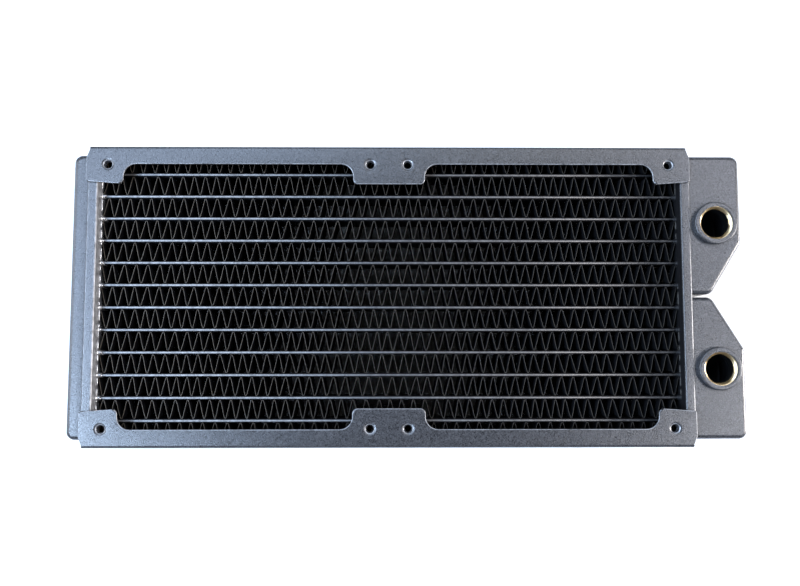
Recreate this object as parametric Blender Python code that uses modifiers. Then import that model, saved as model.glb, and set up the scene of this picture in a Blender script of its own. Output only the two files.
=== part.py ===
"""A liquid cooling radiator for two 120 mm fans, lying on its back fan face with the hose ports up.

Frame: metres, +Z up. The origin is the centre of the overall box, on the surface that it rests on.
+X points to the ports, +Z out of the front fan face. The core is a stack of flat water tubes and
folded fins. Coolant enters one port tank, crosses through half of the tubes to the return tank,
and comes back through the other half. Soldered faces keep JOINT_GAP between their solids.
"""

import math

import bmesh
import bpy
from mathutils import Matrix

MM = 0.001

# The fans that the frame takes, which set its width and its holes.
FAN_SIZE = 120 * MM
FAN_HOLE_SPACING = 105 * MM
FAN_PITCH = 120 * MM

# The frame, measured from the centre of the fan holes.
FRAME_WIDTH = FAN_SIZE
FRAME_LENGTH = 242.4 * MM
FRAME_DEPTH = 30 * MM
SHEET = 1.0 * MM
JOINT_GAP = 0.3 * MM

# The fan flanges: a narrow rail with a tab round each pair of screw holes.
RAIL_WIDTH = 7.3 * MM
TAB_WIDTH = 15.4 * MM
CORNER_TAB_LENGTH = 15.0 * MM
CORNER_TAB_SLOPE = 1.1 * MM
CENTRE_TAB_LENGTH = 28.8 * MM
TAB_INNER_RADIUS = 5.0 * MM
TAB_OUTER_RADIUS = 2.0 * MM
FLANGE_END_TAPER = 1.2 * MM
FLANGE_END_TAPER_WIDTH = 4.5 * MM
TAB_END_RADIUS = 0.8 * MM
SCREW_HOLE_RADIUS = 1.45 * MM
SCREW_DIMPLE_RADIUS = 2.8 * MM
SCREW_DIMPLE_DEPTH = 0.7 * MM
SCREW_COLLAR_RADIUS = 2.3 * MM
SCREW_COLLAR_DEPTH = 2.2 * MM

# The core.
TUBE_COUNT = 12
TUBE_PITCH = 9.05 * MM
TUBE_THICKNESS = 1.3 * MM
TUBE_DEPTH = 17 * MM
TUBE_WALL = 0.3 * MM
TUBE_STAND_OUT = 0.8 * MM
FIN_PITCH = 4.58 * MM
FIN_SHEET = 0.15 * MM
SIDE_PLATE_SHEET = 0.5 * MM

# The header plates: shallow pans whose rims point away from the core.
RETURN_HEADER_FACE_X = -116.8 * MM
RETURN_HEADER_RIM_X = -120.6 * MM
PORT_HEADER_FACE_X = 117.5 * MM
PORT_HEADER_RIM_X = 121.0 * MM
HEADER_HALF_WIDTH = 58.4 * MM
HEADER_CORNER_RADIUS = 2.6 * MM

# The tanks, whose mouths stand inside the header rims.
RETURN_TANK_OVERHANG = 6.0 * MM
PORT_TANK_OVERHANG = 21.2 * MM
PORT_TANKS_HALF_SPACE = 0.55 * MM
PORT_TANK_CHAMFER_X = 129.6 * MM
PORT_TANK_CHAMFER_Y = 21.3 * MM
TANK_CORNER_RADIUS = 3.3 * MM
TANK_EDGE_RADIUS = 2.0 * MM

# The hose ports: bushes with a G1/4 thread.
PORT_X = 131.4 * MM
PORT_Y = 29.2 * MM
THREAD_MINOR_RADIUS = 5.72 * MM
THREAD_CHAMFER_RADIUS = 6.6 * MM
BUSH_RADIUS = 8.6 * MM
BUSH_HEIGHT = 2.4 * MM
BUSH_SPIGOT_RADIUS = 7.2 * MM
BUSH_SPIGOT_LENGTH = 5.0 * MM

# Worked out from the sizes above.
FRAME_CENTRE_X = (RETURN_TANK_OVERHANG - PORT_TANK_OVERHANG) / 2
HALF_LENGTH = FRAME_LENGTH / 2
HALF_WIDTH = FRAME_WIDTH / 2
MID_DEPTH = FRAME_DEPTH / 2
HEADER_DEPTH = FRAME_DEPTH - 2 * (SHEET + JOINT_GAP)
TANK_DEPTH = HEADER_DEPTH - 2 * (SHEET + JOINT_GAP)
TANK_HALF_WIDTH = HEADER_HALF_WIDTH - SHEET - JOINT_GAP
TANK_FACE_Z = MID_DEPTH + TANK_DEPTH / 2
RETURN_TANK_END_X = -HALF_LENGTH - RETURN_TANK_OVERHANG
PORT_TANK_END_X = HALF_LENGTH + PORT_TANK_OVERHANG
RETURN_TUBE_END_X = RETURN_HEADER_FACE_X - SHEET - TUBE_STAND_OUT
PORT_TUBE_END_X = PORT_HEADER_FACE_X + SHEET + TUBE_STAND_OUT
FIN_ROW_HEIGHT = TUBE_PITCH - TUBE_THICKNESS

ARC_STEPS = 3
HOLE_SIDES = 12
BUSH_SIDES = 24
ALONG_X = (math.radians(90), 0, math.radians(90))

PAINT = ("satin_grey_paint", (0.085, 0.088, 0.098, 1), 0.42, 0.35)
CORE_PAINT = ("black_core_paint", (0.018, 0.018, 0.02, 1), 0.5, 0.3)
BRASS = ("brass", (0.72, 0.52, 0.22, 1), 0.3, 1.0)


def clear_scene():
    for obj in list(bpy.data.objects):
        bpy.data.objects.remove(obj)


def collection(name):
    made = bpy.data.collections.new(name)
    bpy.context.scene.collection.children.link(made)
    return made


def material(name, colour, roughness, metallic):
    found = bpy.data.materials.get(name)
    if found:
        return found
    made = bpy.data.materials.new(name)
    made.use_nodes = True
    shader = made.node_tree.nodes["Principled BSDF"]
    shader.inputs["Base Color"].default_value = colour
    shader.inputs["Roughness"].default_value = roughness
    shader.inputs["Metallic"].default_value = metallic
    return made


def add_part(name, data, finish, location=(0, 0, 0), rotation=(0, 0, 0)):
    """A named part in the radiator's collection, placed from the centre of the fan holes."""
    obj = bpy.data.objects.new(name, data)
    radiator.objects.link(obj)
    obj.parent = frame_centre
    obj.location = location
    obj.rotation_euler = rotation
    if not data.materials:
        data.materials.append(material(*finish))
    return obj


def add_cutter(name, data, location=(0, 0, 0), rotation=(0, 0, 0), group=None):
    obj = bpy.data.objects.new(name, data)
    (group or cutters).objects.link(obj)
    obj.parent = frame_centre
    obj.location = location
    obj.rotation_euler = rotation
    obj.hide_render = True
    obj.display_type = "WIRE"
    return obj


def rounded(corners, steps=ARC_STEPS):
    """A closed outline from (x, y, radius) corners, with each rounded corner as an arc."""
    points = []
    for i, (x, y, radius) in enumerate(corners):
        if not radius:
            points.append((x, y))
            continue
        before, after = corners[i - 1], corners[(i + 1) % len(corners)]
        into = math.atan2(y - before[1], x - before[0])
        out = math.atan2(after[1] - y, after[0] - x)
        turn = (out - into + math.pi) % (2 * math.pi) - math.pi
        setback = radius * math.tan(abs(turn) / 2)
        start_x = x - setback * math.cos(into)
        start_y = y - setback * math.sin(into)
        side = math.copysign(1, turn)
        centre_x = start_x - side * radius * math.sin(into)
        centre_y = start_y + side * radius * math.cos(into)
        for step in range(steps + 1):
            angle = into + turn * step / steps - side * math.pi / 2
            points.append((centre_x + radius * math.cos(angle), centre_y + radius * math.sin(angle)))
    return points


def rectangle(x0, x1, y0, y1, radius=0):
    return rounded([(x0, y0, radius), (x1, y0, radius), (x1, y1, radius), (x0, y1, radius)])


def slot(thickness, depth, steps=4):
    """A flat oval with round ends: thickness across, depth along, about its own centre."""
    radius = thickness / 2
    reach = depth / 2 - radius
    points = []
    for end in (1, -1):
        for step in range(steps + 1):
            angle = math.pi * step / steps
            points.append((end * radius * math.cos(angle), end * (reach + radius * math.sin(angle))))
    return points


def outline_mesh(name, outlines, thickness):
    """A plate about z 0 from closed outlines; the outlines inside the first one are its holes."""
    curve = bpy.data.curves.new(name, "CURVE")
    curve.dimensions = "2D"
    curve.fill_mode = "BOTH"
    curve.extrude = thickness / 2
    for outline in outlines:
        spline = curve.splines.new("POLY")
        spline.points.add(len(outline) - 1)
        for point, (x, y) in zip(spline.points, outline):
            point.co = (x, y, 0, 1)
        spline.use_cyclic_u = True
    obj = bpy.data.objects.new(name, curve)
    bpy.context.scene.collection.objects.link(obj)
    mesh = evaluated_mesh(obj, name)
    bpy.data.objects.remove(obj)
    bpy.data.curves.remove(curve)
    shape = bmesh.new()
    shape.from_mesh(mesh)
    bmesh.ops.remove_doubles(shape, verts=shape.verts, dist=0.001 * MM)
    bmesh.ops.recalc_face_normals(shape, faces=shape.faces)
    shape.to_mesh(mesh)
    shape.free()
    return mesh


def evaluated_mesh(obj, name):
    """The object's shape with its modifiers, as a mesh of its own."""
    bpy.context.view_layer.update()
    graph = bpy.context.evaluated_depsgraph_get()
    mesh = bpy.data.meshes.new_from_object(obj.evaluated_get(graph))
    mesh.name = name
    return mesh


def cylinder_mesh(name, radius, depth, top_radius=None, sides=HOLE_SIDES):
    """A cylinder about z 0, or a cone where its top has another radius."""
    shape = bmesh.new()
    top = radius if top_radius is None else top_radius
    bmesh.ops.create_cone(
        shape, cap_ends=True, segments=sides, radius1=radius, radius2=top, depth=depth
    )
    mesh = bpy.data.meshes.new(name)
    shape.to_mesh(mesh)
    shape.free()
    return mesh


def boolean(obj, operation, group):
    modifier = obj.modifiers.new(operation.lower(), "BOOLEAN")
    modifier.operation = operation
    modifier.operand_type = "COLLECTION"
    modifier.collection = group
    modifier.solver = "EXACT"
    return modifier


def flange_outline():
    """The +Y fan flange seen from the front: tabs at both ends and in the middle of one rail."""
    rail_y = HALF_WIDTH - RAIL_WIDTH
    tab_y = HALF_WIDTH - TAB_WIDTH
    tab_x = HALF_LENGTH - CORNER_TAB_LENGTH
    centre_x = CENTRE_TAB_LENGTH / 2
    right = [
        (centre_x, tab_y, TAB_OUTER_RADIUS),
        (centre_x, rail_y, TAB_INNER_RADIUS),
        (tab_x, rail_y, TAB_INNER_RADIUS),
        (tab_x, tab_y, TAB_OUTER_RADIUS),
        (HALF_LENGTH, tab_y + CORNER_TAB_SLOPE, TAB_END_RADIUS),
        (HALF_LENGTH, HALF_WIDTH - FLANGE_END_TAPER_WIDTH, 0),
        (HALF_LENGTH - FLANGE_END_TAPER, HALF_WIDTH - SHEET / 2, 0),
    ]
    left = [(-x, y, radius) for x, y, radius in reversed(right)]
    return rounded(right + left)


def fan_screw_places():
    """Where the four screws of one flange go: two for each fan."""
    half = FAN_HOLE_SPACING / 2
    return [(fan * FAN_PITCH / 2 + side * half, half) for fan in (-1, 1) for side in (-1, 1)]


def channel_mesh():
    """The +Y side channel: a web with a fan flange along its front edge and its back edge."""
    added = bpy.data.collections.new("channel_added")
    removed = bpy.data.collections.new("channel_removed")
    cutters.children.link(added)
    cutters.children.link(removed)
    flange = outline_mesh("flange", [flange_outline()], SHEET)
    web_half = HALF_LENGTH - FLANGE_END_TAPER
    web = outline_mesh(
        "web", [rectangle(-web_half, web_half, HALF_WIDTH - SHEET, HALF_WIDTH)], FRAME_DEPTH
    )
    collar = cylinder_mesh("collar", SCREW_COLLAR_RADIUS, SCREW_COLLAR_DEPTH - SHEET / 2)
    hole = cylinder_mesh("hole", SCREW_HOLE_RADIUS, 3 * SCREW_COLLAR_DEPTH)
    over = SCREW_DIMPLE_DEPTH
    dimple = cylinder_mesh(
        "dimple",
        SCREW_HOLE_RADIUS,
        SCREW_DIMPLE_DEPTH + over,
        top_radius=2 * SCREW_DIMPLE_RADIUS - SCREW_HOLE_RADIUS,
    )
    add_cutter("web", web, (0, 0, MID_DEPTH), group=added)
    for face, outward in ((FRAME_DEPTH, 1), (0, -1)):
        turn = (0 if outward > 0 else math.pi, 0, 0)
        if outward < 0:
            add_cutter("back_flange", flange, (0, 0, SHEET / 2), group=added)
        collar_z = face - outward * (SHEET + SCREW_COLLAR_DEPTH - SHEET / 2) / 2
        dimple_z = face - outward * (SCREW_DIMPLE_DEPTH - over) / 2
        for x, y in fan_screw_places():
            add_cutter("collar", collar, (x, y, collar_z), turn, group=added)
            add_cutter("hole", hole, (x, y, face), group=removed)
            add_cutter("dimple", dimple, (x, y, dimple_z), turn, group=removed)
    whole = add_cutter("channel", flange, (0, 0, FRAME_DEPTH - SHEET / 2))
    boolean(whole, "UNION", added)
    boolean(whole, "DIFFERENCE", removed)
    mesh = evaluated_mesh(whole, "side_channel")
    mesh.transform(Matrix.Translation(whole.location))
    return mesh


def side_channels():
    mesh = channel_mesh()
    add_part("inlet_side_channel", mesh, PAINT)
    add_part("outlet_side_channel", mesh, PAINT, rotation=(0, 0, math.pi))


def side_plates():
    """The flat plates between the outer fins and the channels, from one header to the other."""
    stack_half = (TUBE_COUNT + 1) * FIN_ROW_HEIGHT / 2 + TUBE_COUNT * TUBE_THICKNESS / 2
    mid_y = stack_half + SIDE_PLATE_SHEET / 2
    end_a = RETURN_HEADER_FACE_X + JOINT_GAP
    end_b = PORT_HEADER_FACE_X - JOINT_GAP
    mesh = outline_mesh(
        "side_plate",
        [rectangle(end_a, end_b, -SIDE_PLATE_SHEET / 2, SIDE_PLATE_SHEET / 2)],
        TUBE_DEPTH,
    )
    add_part("inlet_side_plate", mesh, CORE_PAINT, (0, mid_y, MID_DEPTH))
    add_part("outlet_side_plate", mesh, CORE_PAINT, (0, -mid_y, MID_DEPTH))


def water_tubes():
    length = PORT_TUBE_END_X - RETURN_TUBE_END_X
    middle = (PORT_TUBE_END_X + RETURN_TUBE_END_X) / 2
    outside = slot(TUBE_THICKNESS, TUBE_DEPTH)
    bore = slot(TUBE_THICKNESS - 2 * TUBE_WALL, TUBE_DEPTH - 2 * TUBE_WALL)
    mesh = outline_mesh("water_tube", [outside, bore], length)
    for i in range(TUBE_COUNT):
        y = ((TUBE_COUNT - 1) / 2 - i) * TUBE_PITCH
        add_part(f"water_tube_{i + 1:02d}", mesh, CORE_PAINT, (middle, y, MID_DEPTH), ALONG_X)


def fin_strips():
    """Folded fins, each a zigzag strip between two tubes or between a tube and a side plate."""
    start = RETURN_HEADER_FACE_X + JOINT_GAP
    span = PORT_HEADER_FACE_X - JOINT_GAP - start
    folds = 2 * int(span / FIN_PITCH)
    step = FIN_PITCH / 2
    first = start + (span - folds * step) / 2
    leg_angle = math.atan2(FIN_ROW_HEIGHT - 2 * JOINT_GAP, step)
    lift = FIN_SHEET / 2 / math.cos(leg_angle)
    reach = FIN_ROW_HEIGHT / 2 - JOINT_GAP - lift
    line = [(first + i * step, reach if i % 2 else -reach) for i in range(folds + 1)]
    lower = [(x, y - lift) for x, y in line]
    upper = [(x, y + lift) for x, y in reversed(line)]
    mesh = outline_mesh("fin_strip", [lower + upper], TUBE_DEPTH - 2 * JOINT_GAP)
    for i in range(TUBE_COUNT + 1):
        y = (TUBE_COUNT / 2 - i) * TUBE_PITCH
        add_part(f"fin_strip_{i + 1:02d}", mesh, CORE_PAINT, (0, y, MID_DEPTH))


def header_plate(name, face_x, rim_x):
    """A pan with a slot for each tube. Its rim runs from the core face out to rim_x."""
    pan_depth = abs(rim_x - face_x)
    outward = math.copysign(1, rim_x - face_x)
    half_z = HEADER_DEPTH / 2
    pan = outline_mesh(
        name,
        [rectangle(-HEADER_HALF_WIDTH, HEADER_HALF_WIDTH, -half_z, half_z, HEADER_CORNER_RADIUS)],
        pan_depth,
    )
    inside = HEADER_HALF_WIDTH - SHEET
    pocket = outline_mesh(
        "pocket",
        [rectangle(-inside, inside, SHEET - half_z, half_z - SHEET, HEADER_CORNER_RADIUS - SHEET)],
        pan_depth,
    )
    tube_slot = outline_mesh(
        "tube_slot",
        [slot(TUBE_THICKNESS + 2 * JOINT_GAP, TUBE_DEPTH + 2 * JOINT_GAP)],
        3 * SHEET,
    )
    removed = bpy.data.collections.new(name + "_removed")
    cutters.children.link(removed)
    pocket_x = face_x + outward * (SHEET + pan_depth / 2)
    add_cutter("pocket", pocket, (pocket_x, 0, MID_DEPTH), ALONG_X, removed)
    for i in range(TUBE_COUNT):
        y = ((TUBE_COUNT - 1) / 2 - i) * TUBE_PITCH
        add_cutter("tube_slot", tube_slot, (face_x, y, MID_DEPTH), ALONG_X, removed)
    plate = add_part(name, pan, PAINT, ((face_x + rim_x) / 2, 0, MID_DEPTH), ALONG_X)
    boolean(plate, "DIFFERENCE", removed)


def tank_shell(name, outline, mouth_x):
    """A drawn tank with rounded edges, open at mouth_x where it stands in its header plate."""
    mesh = outline_mesh(name, [outline], TANK_DEPTH)
    shape = bmesh.new()
    shape.from_mesh(mesh)
    mouth = [
        face
        for face in shape.faces
        if all(abs(vertex.co.x - mouth_x) < JOINT_GAP / 2 for vertex in face.verts)
    ]
    bmesh.ops.delete(shape, geom=mouth, context="FACES")
    bmesh.ops.dissolve_limit(
        shape, angle_limit=math.radians(1), verts=shape.verts, edges=shape.edges
    )
    shape.to_mesh(mesh)
    shape.free()
    tank = add_part(name, mesh, PAINT, (0, 0, MID_DEPTH))
    edges = tank.modifiers.new("rounded_edges", "BEVEL")
    edges.width = TANK_EDGE_RADIUS
    edges.segments = 2
    edges.limit_method = "ANGLE"
    edges.angle_limit = math.radians(50)
    wall = tank.modifiers.new("wall", "SOLIDIFY")
    wall.thickness = SHEET
    wall.offset = -1
    wall.use_even_offset = True
    return tank


def return_tank():
    mouth_x = RETURN_HEADER_FACE_X - SHEET - JOINT_GAP
    corner = TANK_CORNER_RADIUS
    outline = rounded(
        [
            (mouth_x, -TANK_HALF_WIDTH, 0),
            (mouth_x, TANK_HALF_WIDTH, 0),
            (RETURN_TANK_END_X, TANK_HALF_WIDTH, corner),
            (RETURN_TANK_END_X, -TANK_HALF_WIDTH, corner),
        ]
    )
    tank_shell("return_tank", outline, mouth_x)


def port_tank(name, side):
    """One of the two port tanks; side is 1 towards +Y and -1 towards -Y."""
    mouth_x = PORT_HEADER_FACE_X + SHEET + JOINT_GAP
    corner = TANK_CORNER_RADIUS
    corners = [
        (mouth_x, PORT_TANKS_HALF_SPACE, 0),
        (PORT_TANK_CHAMFER_X, PORT_TANKS_HALF_SPACE, corner),
        (PORT_TANK_END_X, PORT_TANK_CHAMFER_Y, corner),
        (PORT_TANK_END_X, TANK_HALF_WIDTH, corner),
        (mouth_x, TANK_HALF_WIDTH, 0),
    ]
    outline = rounded([(x, side * y, radius) for x, y, radius in corners])
    tank = tank_shell(name, outline, mouth_x)
    removed = bpy.data.collections.new(name + "_removed")
    cutters.children.link(removed)
    opening = cylinder_mesh(
        "port_opening", BUSH_SPIGOT_RADIUS + JOINT_GAP, 4 * TANK_EDGE_RADIUS, sides=BUSH_SIDES
    )
    add_cutter("port_opening", opening, (PORT_X, side * PORT_Y, TANK_FACE_Z), group=removed)
    boolean(tank, "DIFFERENCE", removed)


def port_bush_mesh():
    """The turned bush, with its seat on the tank at z 0. The profile runs down its outer side."""
    top = BUSH_HEIGHT
    chamfer = THREAD_CHAMFER_RADIUS - THREAD_MINOR_RADIUS
    profile = [
        (BUSH_RADIUS, top),
        (BUSH_RADIUS, JOINT_GAP),
        (BUSH_SPIGOT_RADIUS, JOINT_GAP),
        (BUSH_SPIGOT_RADIUS, -BUSH_SPIGOT_LENGTH),
        (THREAD_MINOR_RADIUS, -BUSH_SPIGOT_LENGTH),
        (THREAD_MINOR_RADIUS, top - chamfer),
        (THREAD_CHAMFER_RADIUS, top),
    ]
    shape = bmesh.new()
    ring = [shape.verts.new((x, 0, z)) for x, z in profile]
    for i, vertex in enumerate(ring):
        shape.edges.new((vertex, ring[(i + 1) % len(ring)]))
    mesh = bpy.data.meshes.new("port_bush")
    shape.to_mesh(mesh)
    shape.free()
    return mesh


def port_bushes():
    mesh = port_bush_mesh()
    for name, side in (("inlet_port_bush", 1), ("outlet_port_bush", -1)):
        bush = add_part(name, mesh, BRASS, (PORT_X, side * PORT_Y, TANK_FACE_Z))
        turned = bush.modifiers.new("turned", "SCREW")
        turned.axis = "Z"
        turned.angle = 2 * math.pi
        turned.steps = BUSH_SIDES
        turned.render_steps = BUSH_SIDES
        turned.use_merge_vertices = True
        turned.merge_threshold = 0.001 * MM


clear_scene()
radiator = collection("liquid_cooling_radiator")
cutters = collection("cutters")
frame_centre = bpy.data.objects.new("frame_centre", None)
radiator.objects.link(frame_centre)
frame_centre.location = (FRAME_CENTRE_X, 0, 0)

side_channels()
side_plates()
water_tubes()
fin_strips()
header_plate("return_header_plate", RETURN_HEADER_FACE_X, RETURN_HEADER_RIM_X)
header_plate("port_header_plate", PORT_HEADER_FACE_X, PORT_HEADER_RIM_X)
return_tank()
port_tank("inlet_tank", 1)
port_tank("outlet_tank", -1)
port_bushes()
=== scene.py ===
"""The looks of a liquid cooling radiator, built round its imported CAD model.

Metres, +Z out of the front fan face, +X towards the hose ports, and the floor at Z 0. The parts'
places come from the CAD nodes' boxes. The pieces here are the CAD's parts with finer meshes:
pressed sheet metal, serpentine fins, drawn tanks and threaded bushes, with solder added.
"""

import math
import random

import bmesh
import bpy
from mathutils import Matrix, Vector


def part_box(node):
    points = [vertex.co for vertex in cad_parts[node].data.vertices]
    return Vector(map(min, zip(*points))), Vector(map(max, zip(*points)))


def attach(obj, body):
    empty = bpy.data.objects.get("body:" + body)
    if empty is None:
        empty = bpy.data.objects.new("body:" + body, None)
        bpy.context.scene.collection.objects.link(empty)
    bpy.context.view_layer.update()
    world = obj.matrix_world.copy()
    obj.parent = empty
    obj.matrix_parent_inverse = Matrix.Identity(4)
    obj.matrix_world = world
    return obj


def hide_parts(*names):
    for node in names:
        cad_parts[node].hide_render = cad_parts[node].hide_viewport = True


MM = 0.001
SAME_PLACE = 0.01 * MM

# Signs: which way is outward along X at each end of the core, and each port's side along Y
RETURN_END, PORT_END = -1, 1
OUTLET_SIDE, INLET_SIDE = -1, 1

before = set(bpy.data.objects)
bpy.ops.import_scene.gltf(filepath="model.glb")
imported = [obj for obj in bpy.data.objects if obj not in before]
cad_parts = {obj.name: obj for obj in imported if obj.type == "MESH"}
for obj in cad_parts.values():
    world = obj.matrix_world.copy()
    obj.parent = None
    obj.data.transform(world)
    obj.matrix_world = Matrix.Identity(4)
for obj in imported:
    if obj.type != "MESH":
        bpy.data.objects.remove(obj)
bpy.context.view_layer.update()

# Sheet metal
SHEET = 1.0 * MM
BEND_RADIUS = 1.3 * MM
BEND_STEPS = 6
CUT_EDGE = 0.28 * MM
CUT_STEPS = 2
CUT_ANGLE = math.radians(75)
SMOOTH_ANGLE = 40
ARC_STEPS = 8
OVAL_STEPS = 10

# Fan flanges, as the CAD cuts them
RAIL_WIDTH = 7.3 * MM
TAB_WIDTH = 15.4 * MM
CORNER_TAB_LENGTH = 15.0 * MM
CORNER_TAB_SLOPE = 1.1 * MM
CENTRE_TAB_LENGTH = 28.8 * MM
TAB_INNER_RADIUS = 5.0 * MM
TAB_OUTER_RADIUS = 2.0 * MM
TAB_END_RADIUS = 0.8 * MM
FLANGE_END_TAPER = 1.2 * MM
FLANGE_END_TAPER_WIDTH = 4.5 * MM
FAN_HOLE_SPACING = 105 * MM
FAN_PITCH = 120 * MM

# The pressed screw seats: each ring's radius and height over the flange, in millimetres. Between
# two depths their rings take the highlight paint: a painted highlight round each hole.
SEAT_SIDES = 32
SEAT_RINGS = (
    (2.75, 0.0),
    (2.55, -0.02),
    (2.3, -0.08),
    (2.05, -0.17),
    (1.85, -0.28),
    (1.68, -0.4),
    (1.55, -0.6),
)
SEAT_HIGHLIGHT_DEPTHS = (0.2 * MM, 0.45 * MM)
SCREW_MAJOR = 1.47 * MM
SCREW_MINOR = 1.32 * MM
SCREW_PITCH = 0.5 * MM
SCREW_THREADS = 4

# Core. From here to the seam, pairs are the limits of a random draw.
TUBE_COUNT = 12
TUBE_WALL = 0.3 * MM
FIN_COUNT = 13
FIN_SEED = 100
FIN_SHEET = 0.1 * MM
FIN_PITCH = 4.58 * MM
FIN_ROUNDNESS = (0.5, 0.86)
FIN_HEIGHT = (0.965, 1.0)
FIN_REACH = 0.25 * MM
FIN_LEAN = 0.14
FIN_UNEVEN = 0.07
FIN_DRIFT = 0.07
FIN_DRIFT_TURN = 0.13
FOLD_ANGLES = (0, 12, 25, 40, 60)

# Header plates and their solder
HEADER_BEND_RADIUS = 0.7 * MM
HEADER_CORNER_RADIUS = 2.6 * MM
FILLET_STEPS = 5
FILLET_LOBES = 5
FILLET_FOOT = (0.45 * MM, 0.8 * MM)
FILLET_CLIMB = (0.7 * MM, 1.9 * MM)
FILLET_SWAY = (0.75, 1.3)
FILLET_WALL = 0.15 * MM
BEAD_RADIUS = 0.34 * MM
BEAD_SIDES = 6
BEAD_STEP = 0.6 * MM
BEAD_LEAST_STEPS = 4
BEAD_TIP = 0.25
BEAD_TAPER_POWER = 0.4
BEAD_UNEVEN = (0.6, 1.0)
BEAD_SWAY = 0.12 * MM
BEAD_STAND_OFF = 0.4 * BEAD_RADIUS
RUN_BREAK = (0.15, 0.85)
RUN_BREAK_HALF = (0.15 * MM, 0.8 * MM)
RUN_Z_SWAY = 0.3 * MM
SEAM_WIDTH = 0.4 * MM
SEAM_TUCK = 0.3 * MM
SEAM_LIP = 0.15 * MM
SEAM_STEPS = 4
SEAM_UNEVEN = (0.8, 1.15)

# Tanks
TANK_CORNER_RADIUS = 3.3 * MM
TANK_EDGE_RADIUS = 2.0 * MM
TANK_EDGE_STEPS = 6
TANK_EDGE_ANGLE = math.radians(50)
PORT_TANK_CHAMFER_X = 129.6 * MM
PORT_TANK_CHAMFER_Y = 21.3 * MM

# Hose ports
BUSH_SIDES = 72
BUSH_HEIGHT = 2.4 * MM
BUSH_EDGE = 0.6 * MM
BUSH_EDGE_STEPS = 4
BUSH_SEAT_SINK = 0.1 * MM
BUSH_SPIGOT_RADIUS = 7.2 * MM
PORT_OPENING_RADIUS = 7.3 * MM
PORT_CUTTER_DEPTH = 4 * BUSH_HEIGHT
THREAD_PITCH = 1.337 * MM
THREAD_DEPTH = 0.75 * MM
THREAD_ROWS = 7
THREAD_MINOR_RADIUS = 5.72 * MM
THREAD_MOUTH_RADIUS = 6.6 * MM
MOUTH_SLOPE = 1.8
# Below this depth the bore is painted shade, fading in over the second length.
UNSHADED_BRASS_DEPTH = 2.0 * MM
BORE_SHADE_FADE = 0.8 * MM

# Colours. Pairs are the darkest and palest of a mottled finish, except the fronts, which go from
# the return end to the port end: painted light, paler at the return end where the light falls.
PAINT_TONES = ((0.008, 0.0085, 0.01), (0.056, 0.056, 0.06))
PAINT_SHADE = ((0.93, 0.93, 0.94), (1.0, 1.0, 1.0))
PAINT_SPECK = (0.45, 0.45, 0.46)
SPECK_RARITY = 0.985
# The highlight paint's tones: pale paint that paints highlights on edges, seams and a lit face.
HIGHLIGHT_TONES = ((0.08, 0.081, 0.085), (0.27, 0.274, 0.286))
SOLDER_TONES = ((0.30, 0.30, 0.31), (0.62, 0.63, 0.65))
BRASS_TONES = ((0.50, 0.37, 0.19), (0.74, 0.60, 0.38))
# Painted shade deep in the port bores, below the lit brass.
BORE_SHADE = (0.003, 0.003, 0.003)
FLOOR_TONES = ((0.93, 0.93, 0.93), (0.95, 0.95, 0.95))
# The core's paint: painted shade deep inside, and painted light along the fronts of fins and tubes.
FIN_DEEP = (0.005, 0.005, 0.006)
FIN_FRONTS = ((0.135, 0.115, 0.09), (0.04, 0.036, 0.031))
TUBE_DEEP = (0.006, 0.006, 0.007)
TUBE_FRONTS = ((0.46, 0.465, 0.475), (0.1, 0.101, 0.104))
TUBE_DARK_X = -15 * MM

# Stage. A light is its name, place, size, power in watts, and colour.
SKY_COLOUR = (1.0, 0.96, 0.92, 1)
SKY_STRENGTH = 0.14
LIGHTS = (
    ("window_near", (-0.72, -0.32, 1.05), 0.42, 20, (0.56, 0.74, 1.0)),
    ("window_far", (-0.68, 0.15, 1.1), 0.42, 7.8, (0.56, 0.72, 1.0)),
    ("back_left", (-0.3, 0.55, 1.1), 0.5, 6.8, (0.56, 0.73, 1.0)),
    ("back_right", (0.3, 0.58, 1.1), 0.5, 2.9, (0.95, 0.98, 1.0)),
    ("side_near", (0.74, -0.2, 1.05), 0.4, 6.0, (0.93, 0.94, 1.0)),
    ("side_far", (0.75, 0.35, 1.05), 0.4, 4.3, (0.86, 0.88, 1.0)),
    ("edge_glint", (0.85, -0.05, 0.2), 0.3, 11, (1.0, 0.95, 0.93)),
    ("edge_fill", (-0.9, 0.1, 0.4), 0.5, 4.5, (0.8, 0.88, 1.0)),
)
FLOOR_HALF_SIZE = 4.0
CAMERA_OFFSET = (0.7 * MM, -25.3 * MM, 316.1 * MM)
CAMERA_TURN = (4.72, -0.66, -0.04)
LENS_MM = 36
SENSOR_MM = 36
NEAR_CLIP = 0.01

# Places from the CAD
channel_low, channel_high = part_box("inlet_side_channel")
DEPTH = channel_high.z
MID_DEPTH = DEPTH / 2
CENTRE_X = (channel_low.x + channel_high.x) / 2
HALF_LENGTH = (channel_high.x - channel_low.x) / 2
HALF_WIDTH = channel_high.y
TUBES = [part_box(f"water_tube_{i + 1:02d}") for i in range(TUBE_COUNT)]
FINS = [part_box(f"fin_strip_{i + 1:02d}") for i in range(FIN_COUNT)]
TUBE_FRONT = TUBES[0][1].z
FIN_FRONT = FINS[0][1].z
FIN_START, FIN_END = FINS[0][0].x, FINS[0][1].x
TANK_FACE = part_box("return_tank")[1].z
PORT_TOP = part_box("inlet_port_bush")[1].z


# ---------------------------------------------------------------- materials


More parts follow.
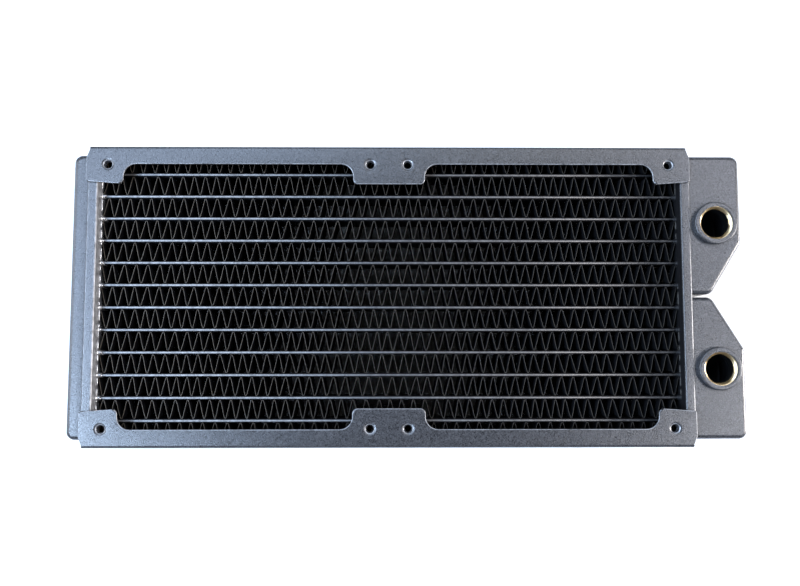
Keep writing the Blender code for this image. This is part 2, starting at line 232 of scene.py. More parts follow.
class Material:
    """A procedural material. Its add method returns the node, and the named ones an output."""

    def __init__(self, name):
        self.made = bpy.data.materials.new(name)
        self.made.use_nodes = True
        self.nodes = self.made.node_tree.nodes
        self.links = self.made.node_tree.links
        self.place = self.nodes.new("ShaderNodeTexCoord").outputs["Object"]

    def feed(self, socket, value):
        """Links an output to an input, or sets the input to a number or a colour."""
        if isinstance(value, bpy.types.NodeSocket):
            self.links.new(value, socket)
        elif isinstance(value, tuple):
            socket.default_value = (*value, 1)
        else:
            socket.default_value = value

    def feed_all(self, node, inputs):
        """Feeds a node's inputs by name, where an underscore stands for a space."""
        for name, value in inputs.items():
            self.feed(node.inputs[name.replace("_", " ")], value)

    def add(self, kind, **inputs):
        node = self.nodes.new(kind)
        self.feed_all(node, inputs)
        return node

    def noise(self, scale, detail, roughness=0.5, place=None):
        grain = self.add("ShaderNodeTexNoise", Scale=scale, Detail=detail, Roughness=roughness)
        self.feed(grain.inputs["Vector"], place or self.place)
        return grain.outputs["Fac"]

    def two_tone(self, value, low, high, tones):
        """The first tone where the value is low, and the second where it is high."""
        node = self.add("ShaderNodeValToRGB", Fac=value)
        for element, position, tone in zip(node.color_ramp.elements, (low, high), tones):
            element.position = position
            element.color = (*tone, 1)
        return node.outputs["Color"]

    def to_range(self, value, low, high, from_low=0.0, from_high=1.0):
        node = self.add("ShaderNodeMapRange", Value=value, From_Min=from_low, From_Max=from_high)
        self.feed_all(node, {"To_Min": low, "To_Max": high})
        return node.outputs["Result"]

    def mix(self, factor, first, second, blend="MIX"):
        node = self.nodes.new("ShaderNodeMix")
        node.data_type = "RGBA"
        node.blend_type = blend
        self.feed_all(node, {"Factor": factor, "A": first, "B": second})
        return node.outputs["Result"]

    def combine(self, operation, first, second):
        node = self.nodes.new("ShaderNodeMath")
        node.operation = operation
        node.use_clamp = True
        self.feed(node.inputs[0], first)
        self.feed(node.inputs[1], second)
        return node.outputs["Value"]

    def along(self, axis, start, end):
        """A value that grows from 0 at the start to 1 at the end, along X, Y or Z."""
        parts = self.add("ShaderNodeSeparateXYZ", Vector=self.place)
        return self.to_range(parts.outputs[axis], 0, 1, start, end)

    def bump(self, height, distance, strength, under=None):
        """A normal for fine relief, on top of another normal where one is given."""
        node = self.add("ShaderNodeBump", Height=height, Distance=distance, Strength=strength)
        if under:
            self.feed(node.inputs["Normal"], under)
        return node.outputs["Normal"]

    def finish(self, **inputs):
        """Feeds the shader and returns the finished material."""
        self.feed_all(self.nodes["Principled BSDF"], inputs)
        return self.made


def frame_paint():
    """Satin grey stove paint: orange peel, mottled colour, and sparse pale specks."""
    paint = Material("frame_paint")
    cloud = paint.noise(scale=45, detail=3)
    mottle = paint.noise(scale=2100, detail=2, roughness=0.6)
    grain = paint.noise(scale=4200, detail=1, roughness=0.6)
    base = paint.two_tone(mottle, 0.32, 0.68, PAINT_TONES)
    base = paint.mix(1.0, base, paint.two_tone(cloud, 0.3, 0.7, PAINT_SHADE), blend="MULTIPLY")
    cells = paint.add("ShaderNodeTexVoronoi", Vector=paint.place, Scale=260)
    speck = paint.to_range(cells.outputs["Distance"], 1, 0, from_low=0.02, from_high=0.06)
    chosen = paint.combine("GREATER_THAN", cells.outputs["Color"], SPECK_RARITY)
    base = paint.mix(paint.combine("MULTIPLY", speck, chosen), base, PAINT_SPECK)
    peel = paint.bump(mottle, distance=0.035 * MM, strength=0.9)
    return paint.finish(
        Base_Color=base,
        Roughness=paint.to_range(mottle, 0.17, 0.28),
        Specular_IOR_Level=0.62,
        Normal=paint.bump(grain, distance=0.04 * MM, strength=0.8, under=peel),
    )


def highlight_paint():
    """Pale paint that stands in for light: a painted highlight along edges, seams and seat rings, and
    painted light on a lit face, in random patches.
    """
    paint = Material("highlight_paint")
    patchy_highlight = paint.noise(scale=500, detail=3, roughness=0.65)
    return paint.finish(
        Base_Color=paint.two_tone(patchy_highlight, 0.3, 0.6, HIGHLIGHT_TONES),
        Roughness=paint.to_range(patchy_highlight, 0.25, 0.4),
        Metallic=0.3,
    )


def core_paint(name, deep, fronts, dark_x, front_z, reach, roughness):
    """Thin sprayed paint with painted shade and painted light: almost black inside as painted shade,
    and paler at the front within its reach as a painted highlight, in random patches.

    The painted highlight at the front goes from the first of the fronts at the return end to the
    second, darker one at dark_x.
    """
    paint = Material(name)
    patch = paint.noise(scale=700, detail=3, roughness=0.65)
    patchy_front = paint.to_range(patch, 0.45, 1.15, from_low=0.3, from_high=0.7)
    # Painted shade below the reach, and painted light along X, paler at the return end.
    near = paint.along("Z", front_z - reach, front_z)
    front = paint.mix(paint.along("X", FIN_START, dark_x), *fronts)
    return paint.finish(
        Base_Color=paint.mix(paint.combine("MULTIPLY", near, patchy_front), deep, front),
        Roughness=paint.to_range(patch, roughness - 0.08, roughness + 0.08),
        Specular_IOR_Level=0.3,
        Normal=paint.bump(patch, distance=0.04 * MM, strength=0.5),
    )


def solder():
    """Dull tin, a little grainy where it froze."""
    tin = Material("solder")
    grain = tin.noise(scale=1500, detail=3, roughness=0.6)
    return tin.finish(
        Base_Color=tin.two_tone(grain, 0.3, 0.7, SOLDER_TONES),
        Metallic=0.85,
        Roughness=tin.to_range(grain, 0.26, 0.44),
        Normal=tin.bump(grain, distance=0.06 * MM, strength=0.7),
    )


def port_brass():
    """Machined brass with fine turning lines near the mouth; deeper down, the bore is painted shade,
    black and without a metal sheen.
    """
    metal = Material("port_brass")
    shade_top_z = PORT_TOP - UNSHADED_BRASS_DEPTH
    unshaded = metal.along("Z", shade_top_z - BORE_SHADE_FADE, shade_top_z)
    flatten = metal.add("ShaderNodeMapping", Vector=metal.place)
    flatten.inputs["Scale"].default_value = (120, 120, 9000)
    lines = metal.noise(scale=1.0, detail=2.0, place=flatten.outputs["Vector"])
    tarnish = metal.noise(scale=400, detail=4, roughness=0.6)
    return metal.finish(
        Base_Color=metal.mix(unshaded, BORE_SHADE, metal.two_tone(tarnish, 0.3, 0.65, BRASS_TONES)),
        Metallic=unshaded,
        Specular_IOR_Level=metal.to_range(unshaded, 0.0, 0.5),
        Roughness=metal.to_range(lines, 0.2, 0.38),
        Normal=metal.bump(lines, distance=0.02 * MM, strength=0.5),
    )


def floor_white():
    """White studio paper with a faint tooth."""
    paper = Material("floor_white")
    tooth = paper.noise(scale=60, detail=2)
    return paper.finish(
        Base_Color=paper.two_tone(tooth, 0.3, 0.7, FLOOR_TONES),
        Roughness=0.9,
        Specular_IOR_Level=0.1,
    )


FRAME_PAINT = frame_paint()
HIGHLIGHT_PAINT = highlight_paint()
# Fins and tubes: painted shade inside the core and painted light at their fronts.
FIN_PAINT = core_paint(
    "fin_paint", FIN_DEEP, FIN_FRONTS, FIN_END, FIN_FRONT, reach=0.35 * MM, roughness=0.5
)
TUBE_PAINT = core_paint(
    "tube_paint", TUBE_DEEP, TUBE_FRONTS, TUBE_DARK_X, TUBE_FRONT, reach=0.2 * MM, roughness=0.42
)
# Painted shade: near black all over, for the tank insides, the port header's core face and its solder.
SHADE_PAINT = core_paint(
    "shade_paint", TUBE_DEEP, (FIN_DEEP, FIN_DEEP), FIN_END, TUBE_FRONT, reach=1 * MM, roughness=0.6
)
SOLDER = solder()
PORT_BRASS = port_brass()


# ---------------------------------------------------------------- mesh tools


def quarter_arc(steps):
    """A unit quarter turn, as (1 - sine, 1 - cosine) from (1, 0) to (0, 1)."""
    turns = [math.pi / 2 * step / steps for step in range(steps + 1)]
    return [(1 - math.sin(turn), 1 - math.cos(turn)) for turn in turns]


def rounded(corners):
    """A closed outline from (x, y, radius) corners, with each rounded corner as an arc."""
    points = []
    for i, (x, y, radius) in enumerate(corners):
        if not radius:
            points.append((x, y))
            continue
        before, after = corners[i - 1], corners[(i + 1) % len(corners)]
        into = math.atan2(y - before[1], x - before[0])
        out = math.atan2(after[1] - y, after[0] - x)
        turn = (out - into + math.pi) % (2 * math.pi) - math.pi
        setback = radius * math.tan(abs(turn) / 2)
        start_x = x - setback * math.cos(into)
        start_y = y - setback * math.sin(into)
        side = math.copysign(1, turn)
        centre_x = start_x - side * radius * math.sin(into)
        centre_y = start_y + side * radius * math.cos(into)
        for step in range(ARC_STEPS + 1):
            angle = into + turn * step / ARC_STEPS - side * math.pi / 2
            arc_x = centre_x + radius * math.cos(angle)
            arc_y = centre_y + radius * math.sin(angle)
            points.append((arc_x, arc_y))
    return points


def rectangle(half_x, half_y, radius):
    corners = [(-half_x, -half_y), (half_x, -half_y), (half_x, half_y), (-half_x, half_y)]
    return rounded([(x, y, radius) for x, y in corners])


def circle(x, y, radius, sides):
    turns = [2 * math.pi * i / sides for i in range(sides)]
    return [(x + radius * math.cos(turn), y + radius * math.sin(turn)) for turn in turns]


def flat_oval(thickness, depth):
    """A slot with round ends about its own centre, its depth along the second axis."""
    radius = thickness / 2
    reach = depth / 2 - radius
    points = []
    for end in (1, -1):
        for step in range(OVAL_STEPS + 1):
            angle = math.pi * step / OVAL_STEPS
            x = radius * math.cos(angle)
            y = reach + radius * math.sin(angle)
            points.append((end * x, end * y))
    return points


def add_verts(shape, points):
    return [shape.verts.new(point) for point in points]


def fill_sheet(shape, loops, normal):
    """One flat face with holes, from closed loops of points. Returns each loop's vertices."""
    made = [add_verts(shape, points) for points in loops]
    edges = []
    for verts in made:
        edges += [shape.edges.new(pair) for pair in zip(verts, verts[1:] + verts[:1])]
    bmesh.ops.triangle_fill(shape, edges=edges, use_beauty=True, normal=normal)
    return made


def join_rows(shape, first, second, closed=True):
    """A band of faces between two rows of the same count."""
    for i in range(len(first) if closed else len(first) - 1):
        j = (i + 1) % len(first)
        shape.faces.new((first[i], first[j], second[j], second[i]))


def skirt(shape, verts, rings, closed=True):
    """Bands of faces from a row of vertices through more rings. Returns the last row."""
    last = verts
    for points in rings:
        now = add_verts(shape, points)
        join_rows(shape, last, now, closed)
        last = now
    return last


def face_out(shape, direction):
    """Turns the faces one way, so that the largest face looks along the direction given."""
    bmesh.ops.recalc_face_normals(shape, faces=shape.faces)
    largest = max(shape.faces, key=lambda face: face.calc_area())
    largest.normal_update()
    if largest.normal.dot(Vector(direction)) < 0:
        bmesh.ops.reverse_faces(shape, faces=shape.faces)


def smooth(mesh, sharp_from):
    mesh.shade_smooth()
    mesh.set_sharp_from_angle(angle=math.radians(sharp_from))


def to_mesh(shape, name, materials, sharp_from=SMOOTH_ANGLE):
    mesh = bpy.data.meshes.new(name)
    shape.to_mesh(mesh)
    shape.free()
    for material in materials:
        mesh.materials.append(material)
    smooth(mesh, sharp_from)
    return mesh


def add_object(name, data):
    made = bpy.data.objects.new(name, data)
    bpy.context.scene.collection.objects.link(made)
    return made


def add_piece(name, mesh, nodes):
    piece = add_object(name, mesh)
    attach(piece, "root")
    if nodes:
        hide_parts(*nodes)
    return piece


def thicken(piece, thickness):
    """Turns a piece's surface into a wall, measured inwards."""
    wall = piece.modifiers.new("wall", "SOLIDIFY")
    wall.thickness = thickness
    wall.offset = -1
    return wall


def even_shading(piece):
    shading = piece.modifiers.new("shading", "WEIGHTED_NORMAL")
    shading.keep_sharp = True


def make_sheet_metal(piece):
    """Gives a piece the sheet's thickness and rounds its cut edges, in its last material."""
    thicken(piece, SHEET).use_even_offset = True
    cut = piece.modifiers.new("cut_edges", "BEVEL")
    cut.width = CUT_EDGE
    cut.segments = CUT_STEPS
    cut.limit_method = "ANGLE"
    cut.angle_limit = CUT_ANGLE
    cut.use_clamp_overlap = False
    # The rounded cut edges take the last material: a painted highlight where that is the highlight
    # paint.
    cut.material = len(piece.data.materials) - 1
    even_shading(piece)


# ---------------------------------------------------------------- side channels


def flange_outline():
    """The +Y fan flange from the front, about the fan holes' centre, up to the bend's start."""
    rail_y = HALF_WIDTH - RAIL_WIDTH
    tab_y = HALF_WIDTH - TAB_WIDTH
    corner_tab_x = HALF_LENGTH - CORNER_TAB_LENGTH
    centre_tab_x = CENTRE_TAB_LENGTH / 2
    right = [
        (centre_tab_x, tab_y, TAB_OUTER_RADIUS),
        (centre_tab_x, rail_y, TAB_INNER_RADIUS),
        (corner_tab_x, rail_y, TAB_INNER_RADIUS),
        (corner_tab_x, tab_y, TAB_OUTER_RADIUS),
        (HALF_LENGTH, tab_y + CORNER_TAB_SLOPE, TAB_END_RADIUS),
        (HALF_LENGTH, HALF_WIDTH - FLANGE_END_TAPER_WIDTH, 0),
        (HALF_LENGTH - FLANGE_END_TAPER, HALF_WIDTH - BEND_RADIUS, 0),
    ]
    left = [(-x, y, radius) for x, y, radius in reversed(right)]
    return rounded(right + left)


def screw_places():
    half = FAN_HOLE_SPACING / 2
    return [(fan * FAN_PITCH / 2 + side * half, half) for fan in (-1, 1) for side in (-1, 1)]


def screw_rings(x, y, top):
    """A dish pressed into the flange, then threads as plain rings, from the top down."""
    sizes = [(radius * MM, height * MM) for radius, height in SEAT_RINGS]
    last_height = sizes[-1][1]
    for i in range(2 * SCREW_THREADS):
        radius = SCREW_MINOR if i % 2 else SCREW_MAJOR
        sizes.append((radius, last_height - (i + 1) * SCREW_PITCH / 2))
    return [[(*p, top + height) for p in circle(x, y, radius, SEAT_SIDES)] for radius, height in sizes]


def channel_mesh():
    """Half of the channel: the front flange, its bend, and the web down to the middle."""
    shape = bmesh.new()
    flange = [(x, y, MID_DEPTH) for x, y in flange_outline()]
    screws = [screw_rings(x, y, MID_DEPTH) for x, y in screw_places()]
    edge, *seats = fill_sheet(shape, [flange] + [rings[0] for rings in screws], (0, 0, 1))
    for seat, rings in zip(seats, screws):
        skirt(shape, seat, rings[1:])
    # Painted highlight: the seat rings between the two depths take the highlight paint.
    for face in shape.faces:
        sunk = MID_DEPTH - face.calc_center_median().z
        if SEAT_HIGHLIGHT_DEPTHS[0] < sunk < SEAT_HIGHLIGHT_DEPTHS[1]:
            face.material_index = 1
    bend_start = [v for v in edge if abs(v.co.y - (HALF_WIDTH - BEND_RADIUS)) < SAME_PLACE]
    ends = [v.co.x for v in bend_start]
    rings = []
    for back, down in quarter_arc(BEND_STEPS)[1:]:
        y = HALF_WIDTH - BEND_RADIUS * back
        z = MID_DEPTH - BEND_RADIUS * down
        rings.append([(x, y, z) for x in ends])
    rings.append([(x, HALF_WIDTH, 0) for x in ends])
    skirt(shape, bend_start, rings, closed=False)
    face_out(shape, (0, 0, 1))
    return to_mesh(shape, "side_channel", [FRAME_PAINT, HIGHLIGHT_PAINT])


def side_channels():
    """The two channels share one mesh, turned half round for the -Y side."""
    mesh = channel_mesh()
    for name, turn in (("inlet_side_channel", 0), ("outlet_side_channel", math.pi)):
        piece = add_piece(name + "_pressed", mesh, [name])
        piece.location = (CENTRE_X, 0, MID_DEPTH)
        piece.rotation_euler = (0, 0, turn)
        other_half = piece.modifiers.new("back_half", "MIRROR")
        other_half.use_axis = (False, False, True)
        other_half.merge_threshold = SAME_PLACE
        make_sheet_metal(piece)


# ---------------------------------------------------------------- header plates


def pan_ring(low, high, inset, x):
    """The header pan's outline at one place along X, drawn in by the inset."""
    half_y, half_z = high.y, (high.z - low.z) / 2
    points = rectangle(half_y - inset, half_z - inset, HEADER_CORNER_RADIUS - inset)
    return [(x, y, MID_DEPTH + z) for y, z in points]


def header_plate(name, outward, face_paint, bend_paint):
    """A pan with slots for the tubes; its rim points away from the core."""
    low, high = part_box(name)
    face_x, rim_x = (low.x, high.x) if outward > 0 else (high.x, low.x)
    bend = HEADER_BEND_RADIUS
    loops = [pan_ring(low, high, bend, face_x)]
    for tube_low, tube_high in TUBES:
        slot = flat_oval(tube_high.y - tube_low.y, tube_high.z - tube_low.z)
        y0 = (tube_low.y + tube_high.y) / 2
        loops.append([(face_x, y0 + y, MID_DEPTH + z) for y, z in slot])
    shape = bmesh.new()
    rim = fill_sheet(shape, loops, (-outward, 0, 0))[0]
    rings = []
    for inset, out in quarter_arc(BEND_STEPS)[1:]:
        rings.append(pan_ring(low, high, bend * inset, face_x + outward * bend * out))
    rings.append(pan_ring(low, high, 0, rim_x))
    skirt(shape, rim, rings)
    face_out(shape, (-outward, 0, 0))
    for face in shape.faces:
        depth = abs(face.calc_center_median().x - face_x)
        if depth < SAME_PLACE:
            face.material_index = 1
        elif depth < bend:
            face.material_index = 2
    mesh = to_mesh(shape, name, [FRAME_PAINT, face_paint, bend_paint])
    make_sheet_metal(add_piece(name + "_pressed", mesh, [name]))


def solder_fillet(shape, rng, face_x, outward, tube):
    """A concave ring of solder from a tube onto the header's core face, uneven as dipped."""
    tube_low, tube_high = tube
    y0 = (tube_low.y + tube_high.y) / 2
    foot = rng.uniform(*FILLET_FOOT)
    climb = rng.uniform(*FILLET_CLIMB)
    sways = [rng.uniform(*FILLET_SWAY) for _ in range(FILLET_LOBES)]
    rings = []
    for spread, rise in quarter_arc(FILLET_STEPS):
        grow = 2 * foot * spread
        points = flat_oval(tube_high.y - tube_low.y + grow, tube_high.z - tube_low.z + grow)
        ring = []
        for i, (y, z) in enumerate(points):
            sway = sways[i * FILLET_LOBES // len(points)]
            ring.append((face_x - outward * climb * rise * sway, y0 + y, MID_DEPTH + z))
        rings.append(ring)
    skirt(shape, add_verts(shape, rings[0]), rings[1:])


def solder_bead(shape, rng, x, z, y_from, y_to):
    """A thin run of solder along the header's face, tapered and wandering, closed at both ends."""
    count = max(BEAD_LEAST_STEPS, round(abs(y_to - y_from) / BEAD_STEP))
    rings = []
    for step in range(count + 1):
        along = step / count
        full = BEAD_TIP + math.sin(math.pi * along) ** BEAD_TAPER_POWER
        radius = BEAD_RADIUS * full * rng.uniform(*BEAD_UNEVEN)
        y = y_from + (y_to - y_from) * along
        sway = rng.uniform(-BEAD_SWAY, BEAD_SWAY)
        ring = circle(x, z + sway, radius, BEAD_SIDES)
        rings.append([(ring_x, y, ring_z) for ring_x, ring_z in ring])
    first = add_verts(shape, rings[0])
    last = skirt(shape, first, rings[1:])
    shape.faces.new(first)
    shape.faces.new(last)


def core_solder(name, header, outward, fillet_paint, run_paint, run_share, seed):
    """Solder round every tube at the header, and the runs that it left between them."""
    rng = random.Random(seed)
    low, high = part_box(header)
    face_x = low.x if outward > 0 else high.x
    run_x = face_x - outward * BEAD_STAND_OFF
    fillets, runs = bmesh.new(), bmesh.new()
    for i, tube in enumerate(TUBES):
        solder_fillet(fillets, rng, face_x, outward, tube)
        if i and rng.random() < run_share:
            start, end = tube[1].y, TUBES[i - 1][0].y
            middle = start + (end - start) * rng.uniform(*RUN_BREAK)
            gap = rng.uniform(*RUN_BREAK_HALF)
            run_z = TUBE_FRONT + rng.uniform(-RUN_Z_SWAY, RUN_Z_SWAY)
            solder_bead(runs, rng, run_x, run_z, start, middle - gap)
            solder_bead(runs, rng, run_x, run_z, middle + gap, end)
    for shape in (fillets, runs):
        bmesh.ops.recalc_face_normals(shape, faces=shape.faces)
    fillet_mesh = to_mesh(fillets, name, [fillet_paint], sharp_from=60)
    thicken(add_piece(name + "_fillets", fillet_mesh, []), FILLET_WALL)
    add_piece(name + "_runs", to_mesh(runs, name, [run_paint], sharp_from=80), [])


# ---------------------------------------------------------------- core


def water_tubes():
    for i, (low, high) in enumerate(TUBES):
        name = f"water_tube_{i + 1:02d}"
        section = flat_oval(high.y - low.y, high.z - low.z)
        y0 = (low.y + high.y) / 2
        near, far = ([(x, y0 + y, MID_DEPTH + z) for y, z in section] for x in (low.x, high.x))
        shape = bmesh.new()
        skirt(shape, add_verts(shape, near), [far])
        mesh = to_mesh(shape, name, [TUBE_PAINT])
        thicken(add_piece(name + "_drawn", mesh, [name]), TUBE_WALL)


def fin_steps(rng, count):
    """How far apart the folds stand: uneven, leaning to one side, and drifting along the strip."""
    lean = rng.uniform(-FIN_LEAN, FIN_LEAN)
    drift = rng.uniform(0, 2 * math.pi)
    steps = []
    for i in range(count):
        spread = rng.gauss(1, FIN_UNEVEN) * (1 + FIN_DRIFT * math.sin(drift + i * FIN_DRIFT_TURN))
        steps.append(spread * (1 + (lean if i % 2 else -lean)))
    return steps


def fin_line(low, high, seed):
    """Points along the middle of one folded strip, with rounded folds and nearly straight legs."""
    rng = random.Random(seed)
    waves = round((high.x - low.x) / FIN_PITCH)
    steps = fin_steps(rng, 2 * waves)
    scale = (high.x - low.x - FIN_SHEET) / sum(steps)
    half = (high.y - low.y - FIN_SHEET) / 2 + FIN_REACH
    middle = (high.y + low.y) / 2
    up = rng.choice((1, -1))
    x = low.x + FIN_SHEET / 2
    angles = [math.radians(angle) for angle in FOLD_ANGLES]
    phases = angles + [math.pi / 2] + [math.pi - angle for angle in reversed(angles[1:])]
    points = []
    for step in steps:
        reach = half * rng.uniform(*FIN_HEIGHT)
        roundness = rng.uniform(*FIN_ROUNDNESS)
        for phase in phases:
            height = math.asin(roundness * math.cos(phase)) / math.asin(roundness)
            points.append((x + step * scale * phase / math.pi, middle + up * reach * height))
        x += step * scale
        up = -up
    return points


def fin_section(points, i, low_z, high_z):
    """The four corners of the strip's cross-section at one point of its line."""
    before, after = points[max(i - 1, 0)], points[min(i + 1, len(points) - 1)]
    along = Vector((after[0] - before[0], after[1] - before[1])).normalized()
    x, y = points[i]
    across_x, across_y = -along.y * FIN_SHEET / 2, along.x * FIN_SHEET / 2
    corners = [(1, low_z), (1, high_z), (-1, high_z), (-1, low_z)]
    return [(x + side * across_x, y + side * across_y, z) for side, z in corners]


def fin_strips():
    for i, (low, high) in enumerate(FINS):
        name = f"fin_strip_{i + 1:02d}"
        points = fin_line(low, high, FIN_SEED + i)
        sections = [fin_section(points, j, low.z, high.z) for j in range(len(points))]
        shape = bmesh.new()
        first = add_verts(shape, sections[0])
        last = skirt(shape, first, sections[1:])
        shape.faces.new(first)
        shape.faces.new(last)
        bmesh.ops.recalc_face_normals(shape, faces=shape.faces)
        mesh = to_mesh(shape, name, [FIN_PAINT], sharp_from=50)
        add_piece(name + "_folded", mesh, [name])


def side_plates():
    """The CAD's flat plates are the real shape, so only their finish changes."""
    for name in ("inlet_side_plate", "outlet_side_plate"):
        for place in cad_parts[name].material_slots:
            # The tube paint brings its painted shade and painted highlight.
            place.material = TUBE_PAINT


# ---------------------------------------------------------------- tanks


def tank_piece(name, outline, mouth_x):
    """A drawn shell with rounded edges, open where the outline runs along the mouth."""
    low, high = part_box(name)
    shape = bmesh.new()
    bottom, top = (add_verts(shape, [(x, y, z) for x, y in outline]) for z in (low.z, high.z))
    shape.faces.new(bottom)
    top_face = shape.faces.new(top)
    for i in range(len(outline)):
        j = (i + 1) % len(outline)
        if max(abs(outline[k][0] - mouth_x) for k in (i, j)) > SAME_PLACE:
            shape.faces.new((bottom[i], bottom[j], top[j], top[i]))
    bmesh.ops.recalc_face_normals(shape, faces=shape.faces)
    if top_face.normal.z < 0:
        bmesh.ops.reverse_faces(shape, faces=shape.faces)
    mesh = to_mesh(shape, name, [FRAME_PAINT, SHADE_PAINT])
    piece = add_piece(name + "_drawn", mesh, [name])
    edges = piece.modifiers.new("rounded_edges", "BEVEL")
    edges.width = TANK_EDGE_RADIUS
    edges.segments = TANK_EDGE_STEPS
    edges.limit_method = "ANGLE"
    edges.angle_limit = TANK_EDGE_ANGLE
    wall = thicken(piece, SHEET)
    wall.use_even_offset = True
    # The inner side of the wall takes the shade paint: painted shade inside the tank.
    wall.material_offset = 1
    return piece


def return_tank():
    low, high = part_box("return_tank")
    corner = TANK_CORNER_RADIUS
    mouth = [(high.x, low.y, 0), (high.x, high.y, 0)]
    far_side = [(low.x, high.y, corner), (low.x, low.y, corner)]
    even_shading(tank_piece("return_tank", rounded(mouth + far_side), high.x))


def cut_round_hole(piece, centre):
    """Cuts the port's opening into a tank and applies all of the piece's modifiers."""
    shape = bmesh.new()
    bmesh.ops.create_cone(
        shape,
        cap_ends=True,
        segments=BUSH_SIDES,
        radius1=PORT_OPENING_RADIUS,
        radius2=PORT_OPENING_RADIUS,
        depth=PORT_CUTTER_DEPTH,
    )
    cutter = add_object(piece.name + "_cutter", to_mesh(shape, piece.name + "_cutter", []))
    cutter.location = centre
    opening = piece.modifiers.new("opening", "BOOLEAN")
    opening.operation = "DIFFERENCE"
    opening.object = cutter
    bpy.context.view_layer.update()
    graph = bpy.context.evaluated_depsgraph_get()
    mesh = bpy.data.meshes.new_from_object(piece.evaluated_get(graph))
    piece.modifiers.clear()
    piece.data = mesh
    bpy.data.objects.remove(cutter)
    smooth(mesh, SMOOTH_ANGLE)


def port_tank(name, bush, side):
    """A tank with its far inner corner cut off, and an opening for its bush."""
    low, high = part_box(name)
    inner, outer = (low.y, high.y) if side > 0 else (high.y, low.y)
    corner = TANK_CORNER_RADIUS
    outline = [
        (low.x, inner, 0),
        (CENTRE_X + PORT_TANK_CHAMFER_X, inner, corner),
        (high.x, side * PORT_TANK_CHAMFER_Y, corner),
        (high.x, outer, corner),
        (low.x, outer, 0),
    ]
    piece = tank_piece(name, rounded(outline), low.x)
    bush_low, bush_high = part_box(bush)
    middle = (bush_low + bush_high) / 2
    cut_round_hole(piece, (middle.x, middle.y, high.z))
    even_shading(piece)


def seam_section(drop):
    """The bead's cross-section, as (how far out from the rim, how far in from its outside)."""
    section = [(-SEAM_TUCK, drop), (-SEAM_TUCK, SEAM_LIP)]
    for short, down in quarter_arc(SEAM_STEPS):
        section.append((SEAM_WIDTH * (1 - short), SEAM_LIP + (drop - SEAM_LIP) * down))
    return section


def seam(name, header, outward, paint, seed):
    """The bead that runs round the header's rim and onto the tank."""
    rng = random.Random(seed)
    low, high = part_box(header)
    rim_x = high.x if outward > 0 else low.x
    half_y, half_z = high.y, (high.z - low.z) / 2
    shape = bmesh.new()
    rows = []
    swells = None
    for out, inset in seam_section(high.z - TANK_FACE):
        corner = max(HEADER_CORNER_RADIUS - inset, SHEET / 2)
        points = rectangle(half_y - inset, half_z - inset, corner)
        swells = swells or [rng.uniform(*SEAM_UNEVEN) for _ in points]
        row = []
        for (y, z), swell in zip(points, swells):
            reach = out * swell if out > 0 else out
            row.append((rim_x + outward * reach, y, MID_DEPTH + z))
        rows.append(add_verts(shape, row))
    for first, second in zip(rows, rows[1:] + rows[:1]):
        join_rows(shape, first, second)
    bmesh.ops.recalc_face_normals(shape, faces=shape.faces)
    add_piece(name, to_mesh(shape, name, [paint], sharp_from=50), [])


# ---------------------------------------------------------------- port bushes


def bush_outside(low, high):
    """(radius, height) from the spigot's foot up and over the collar's rounded edge to the mouth."""
    collar = (high.x - low.x) / 2
    seat = high.z - BUSH_HEIGHT - BUSH_SEAT_SINK
    sizes = [(BUSH_SPIGOT_RADIUS, low.z), (BUSH_SPIGOT_RADIUS, seat), (collar, seat)]
    for down, back in quarter_arc(BUSH_EDGE_STEPS):
        sizes.append((collar - BUSH_EDGE * back, high.z - BUSH_EDGE * down))
    sizes.append((THREAD_MOUTH_RADIUS, high.z))
    return sizes


def thread_radius(z, turn, top):
    """The bore's radius at a height and a share of a turn: a left-hand helix and a flared mouth."""
    phase = (z / THREAD_PITCH + turn) % 1
    thread = THREAD_MINOR_RADIUS + THREAD_DEPTH * (1 - abs(2 * phase - 1))
    return max(thread, THREAD_MOUTH_RADIUS - MOUTH_SLOPE * (top - z))


def port_bush(name):
    """A turned bush: a painted collar, and a brass bore with a pipe thread."""
    low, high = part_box(name)
    x0, y0 = (low.x + high.x) / 2, (low.y + high.y) / 2
    sizes = bush_outside(low, high)
    outside = [[(*p, z) for p in circle(x0, y0, radius, BUSH_SIDES)] for radius, z in sizes]
    shape = bmesh.new()
    first = add_verts(shape, outside[0])
    last = skirt(shape, first, outside[1:])
    painted = set(shape.faces)
    rows = int((high.z - low.z) / THREAD_PITCH * THREAD_ROWS)
    bore = []
    for row in range(1, rows + 1):
        z = high.z + (low.z - high.z) * row / rows
        points = []
        for i in range(BUSH_SIDES):
            turn = i / BUSH_SIDES
            radius = thread_radius(z, turn, high.z)
            angle = 2 * math.pi * turn
            points.append((x0 + radius * math.cos(angle), y0 + radius * math.sin(angle), z))
        bore.append(points)
    last = skirt(shape, last, bore)
    join_rows(shape, last, first)
    for face in shape.faces:
        face.material_index = 0 if face in painted else 1
    bmesh.ops.recalc_face_normals(shape, faces=shape.faces)
    mesh = to_mesh(shape, name, [FRAME_PAINT, PORT_BRASS], sharp_from=35)
    add_piece(name + "_turned", mesh, [name])


# ---------------------------------------------------------------- stage


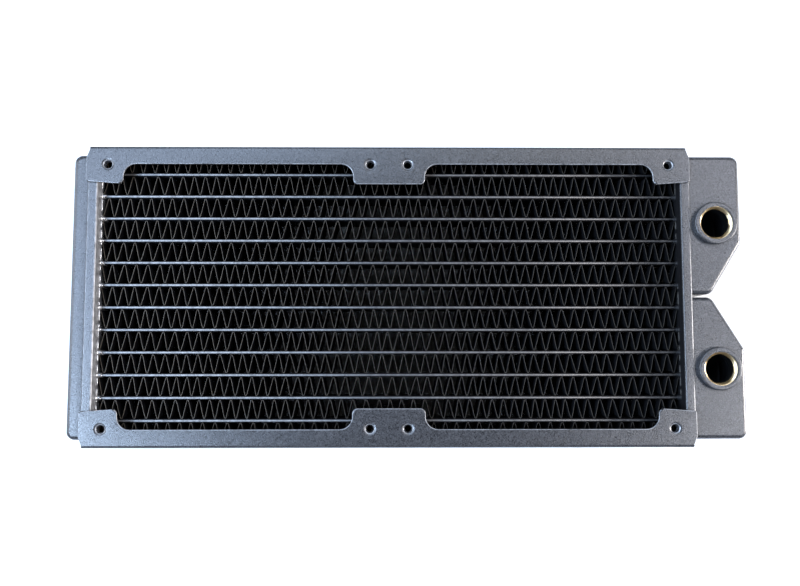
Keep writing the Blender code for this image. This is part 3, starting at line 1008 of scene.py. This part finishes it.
def add_light(name, place, size, power, colour):
    """A square soft light that faces the radiator."""
    lamp = bpy.data.lights.new(name, "AREA")
    lamp.size = size
    lamp.energy = power
    lamp.color = colour
    light = add_object(name, lamp)
    light.location = place
    towards = Vector((0, 0, MID_DEPTH)) - Vector(place)
    light.rotation_euler = towards.to_track_quat("-Z", "Y").to_euler()


def studio():
    """A white floor, a dim warm sky, cool light from the left and weaker light from the right."""
    shape = bmesh.new()
    bmesh.ops.create_grid(shape, x_segments=1, y_segments=1, size=FLOOR_HALF_SIZE)
    add_object("floor", to_mesh(shape, "floor", [floor_white()]))
    world = bpy.data.worlds.new("studio")
    world.use_nodes = True
    sky = world.node_tree.nodes["Background"]
    sky.inputs["Color"].default_value = SKY_COLOUR
    sky.inputs["Strength"].default_value = SKY_STRENGTH
    bpy.context.scene.world = world
    for light in LIGHTS:
        add_light(*light)


def add_camera():
    """The photo's view: almost straight down, a little from the -Y side."""
    lens = bpy.data.cameras.new("camera")
    lens.lens = LENS_MM
    lens.sensor_width = SENSOR_MM
    lens.clip_start = NEAR_CLIP
    camera = add_object("camera", lens)
    camera.location = Vector((CENTRE_X, 0, DEPTH)) + Vector(CAMERA_OFFSET)
    camera.rotation_euler = [math.radians(angle) for angle in CAMERA_TURN]
    bpy.context.scene.camera = camera
    bpy.context.scene.view_settings.view_transform = "Standard"


add_camera()
studio()
side_channels()
# The return header's face and bend take the highlight paint: painted light on the face, a painted
# highlight on the bend.
header_plate("return_header_plate", RETURN_END, HIGHLIGHT_PAINT, HIGHLIGHT_PAINT)
# The port header's face toward the core takes the shade paint: painted shade.
header_plate("port_header_plate", PORT_END, SHADE_PAINT, FRAME_PAINT)
core_solder(
    "return_core_solder", "return_header_plate", RETURN_END, SOLDER, SOLDER, run_share=1.0, seed=11
)
# The port end's solder takes the shade paint and the fin paint: painted shade in the core.
core_solder(
    "port_core_solder", "port_header_plate", PORT_END, SHADE_PAINT, FIN_PAINT, run_share=0.45, seed=12
)
water_tubes()
fin_strips()
side_plates()
return_tank()
port_tank("inlet_tank", "inlet_port_bush", INLET_SIDE)
port_tank("outlet_tank", "outlet_port_bush", OUTLET_SIDE)
seam("return_seam", "return_header_plate", RETURN_END, FRAME_PAINT, seed=21)
# The port seam takes the highlight paint: a painted highlight along the joint.
seam("port_seam", "port_header_plate", PORT_END, HIGHLIGHT_PAINT, seed=22)
port_bush("inlet_port_bush")
port_bush("outlet_port_bush")
